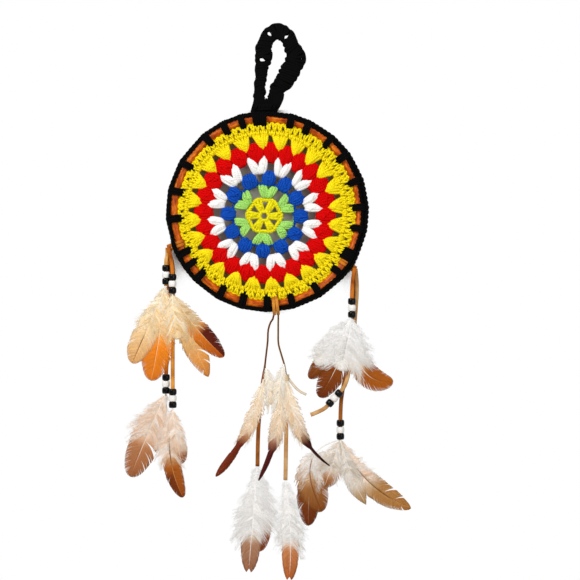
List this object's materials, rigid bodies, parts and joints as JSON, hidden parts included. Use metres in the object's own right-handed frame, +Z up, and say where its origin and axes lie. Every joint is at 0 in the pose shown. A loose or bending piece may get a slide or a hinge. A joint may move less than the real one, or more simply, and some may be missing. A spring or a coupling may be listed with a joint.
{
  "type": "dream catcher",
  "caption": "Round crocheted mandala laced into a cane hoop with a black edging and hanging loop; suede laces with beads and feathers hang below. Wall ornament.",
  "frame": {"origin": "the point under the top of the hanging loop that rests on the nail", "axes": "+X right, +Y from the front to the back, +Z up; the front faces -Y"},
  "size_m": [0.2282, 0.0159, 0.4452],
  "materials": {
    "cane": "satin varnish",
    "black_yarn": "matt acrylic yarn",
    "deep_yellow_yarn": "matt acrylic yarn",
    "lime_yarn": "matt acrylic yarn",
    "blue_yarn": "matt acrylic yarn",
    "white_yarn": "matt acrylic yarn",
    "red_yarn": "matt acrylic yarn",
    "yellow_yarn": "matt acrylic yarn",
    "suede": "suede",
    "black_bead": "gloss",
    "white_bead": "gloss",
    "hackle": "natural feather",
    "thread": "matt thread",
    "dark_feather": "natural feather",
    "tan_feather": "natural feather",
    "white_feather": "natural feather"
  },
  "bodies": {
    "loop": {"hanging_loop": "black_yarn"},
    "binding": {"loop_binding": "black_yarn"},
    "hoop": {"cane_hoop": "cane", "black_edging": "black_yarn", "centre_round_yellow": "deep_yellow_yarn", "second_round_green": "lime_yarn", "third_round_blue": "blue_yarn", "fourth_round_white": "white_yarn", "fifth_round_red": "red_yarn", "outer_round_yellow": "yellow_yarn", "left_hitch": "suede", "centre_hitch": "suede", "right_hitch": "suede"},
    "left_tassel": {"left_upper_front_lace": "suede", "left_upper_front_lower_black_bead": "black_bead", "left_upper_front_white_bead": "white_bead", "left_upper_front_upper_black_bead": "black_bead", "left_upper_rear_lace": "suede", "left_upper_rear_lower_black_bead": "black_bead", "left_upper_rear_white_bead": "white_bead", "left_upper_rear_upper_black_bead": "black_bead", "left_lower_front_lace": "suede", "left_lower_front_lower_black_bead": "black_bead", "left_lower_front_white_bead": "white_bead", "left_lower_front_upper_black_bead": "black_bead", "left_lower_rear_lace": "suede", "left_lower_rear_lower_black_bead": "black_bead", "left_lower_rear_white_bead": "white_bead", "left_lower_rear_upper_black_bead": "black_bead"},
    "centre_tassel": {"centre_right_lace": "suede", "centre_left_lace": "suede", "centre_right_tie": "thread", "centre_left_hackle": "hackle", "centre_inner_hackle": "hackle", "centre_right_hackle": "hackle"},
    "right_tassel": {"right_upper_lace": "suede", "right_upper_lower_black_bead": "black_bead", "right_upper_white_bead": "white_bead", "right_upper_upper_black_bead": "black_bead", "right_bare_lace": "suede", "right_bare_lower_black_bead": "black_bead", "right_bare_white_bead": "white_bead", "right_bare_upper_black_bead": "black_bead", "right_lower_lace": "suede", "right_lower_lower_black_bead": "black_bead", "right_lower_white_bead": "white_bead", "right_lower_upper_black_bead": "black_bead"},
    "left_upper_rear_feathers": {"left_upper_tan_feather": "tan_feather", "left_upper_orange_feather": "tan_feather"},
    "left_upper_front_feathers": {"left_upper_brown_feather": "tan_feather", "left_upper_pale_feather": "tan_feather"},
    "left_lower_rear_feathers": {"left_lower_wide_feather": "tan_feather"},
    "left_lower_front_feathers": {"left_lower_rust_feather": "dark_feather"},
    "centre_left_feathers": {"centre_left_long_feather": "white_feather", "centre_left_short_feather": "white_feather"},
    "centre_right_feathers": {"centre_right_feather": "white_feather"},
    "right_upper_feathers": {"right_upper_dark_feather": "dark_feather", "right_upper_brown_feather": "tan_feather"},
    "right_lower_feathers": {"right_lower_dark_feather": "dark_feather", "right_lower_tan_feather": "tan_feather"}
  },
  "joints": [
    {"name": "hoop_rock", "type": "hinge", "parent": "loop", "child": "binding", "pos_m": [-0.0089, 0, -0.0477], "axis": [0, 1, 0], "range_deg": [-15, 15]},
    {"name": "hoop_lift", "type": "hinge", "parent": "binding", "child": "hoop", "pos_m": [-0.0089, -0.0058, -0.0569], "axis": [-1, 0, 0], "range_deg": [0, 40]},
    {"name": "left_tassel_swing", "type": "hinge", "parent": "hoop", "child": "left_tassel", "pos_m": [-0.08879, 0, -0.16605], "axis": [0, 1, 0], "range_deg": [0, 30]},
    {"name": "centre_tassel_swing", "type": "hinge", "parent": "hoop", "child": "centre_tassel", "pos_m": [0.00145, -0.0034, -0.22024], "axis": [-1, 0, 0], "range_deg": [0, 40]},
    {"name": "right_tassel_swing", "type": "hinge", "parent": "hoop", "child": "right_tassel", "pos_m": [0.06486, 0, -0.18286], "axis": [0, -1, 0], "range_deg": [0, 30]},
    {"name": "left_upper_rear_flutter", "type": "hinge", "parent": "left_tassel", "child": "left_upper_rear_feathers", "pos_m": [-0.08819, -0.0035, -0.19779], "axis": [-1, 0, 0], "range_deg": [0, 25]},
    {"name": "left_upper_front_flutter", "type": "hinge", "parent": "left_tassel", "child": "left_upper_front_feathers", "pos_m": [-0.08289, -0.0048, -0.2036], "axis": [-1, 0, 0], "range_deg": [0, 25]},
    {"name": "left_lower_rear_flutter", "type": "hinge", "parent": "left_tassel", "child": "left_lower_rear_feathers", "pos_m": [-0.08875, 0.0036, -0.28385], "axis": [-1, 0, 0], "range_deg": [0, 20]},
    {"name": "left_lower_front_flutter", "type": "hinge", "parent": "left_tassel", "child": "left_lower_front_feathers", "pos_m": [-0.08299, -0.0006, -0.29519], "axis": [-1, 0, 0], "range_deg": [0, 25]},
    {"name": "centre_left_flutter", "type": "hinge", "parent": "centre_tassel", "child": "centre_left_feathers", "pos_m": [-0.01524, 0.0001, -0.34193], "axis": [-1, 0, 0], "range_deg": [0, 15]},
    {"name": "centre_right_flutter", "type": "hinge", "parent": "centre_tassel", "child": "centre_right_feathers", "pos_m": [0.00715, -0.0031, -0.35264], "axis": [-1, 0, 0], "range_deg": [0, 25]},
    {"name": "right_upper_flutter", "type": "hinge", "parent": "right_tassel", "child": "right_upper_feathers", "pos_m": [0.06004, -0.0053, -0.22286], "axis": [-1, 0, 0], "range_deg": [0, 25]},
    {"name": "right_lower_flutter", "type": "hinge", "parent": "right_tassel", "child": "right_lower_feathers", "pos_m": [0.05117, 0.002, -0.32055], "axis": [-1, 0, 0], "range_deg": [0, 15]}
  ]
}
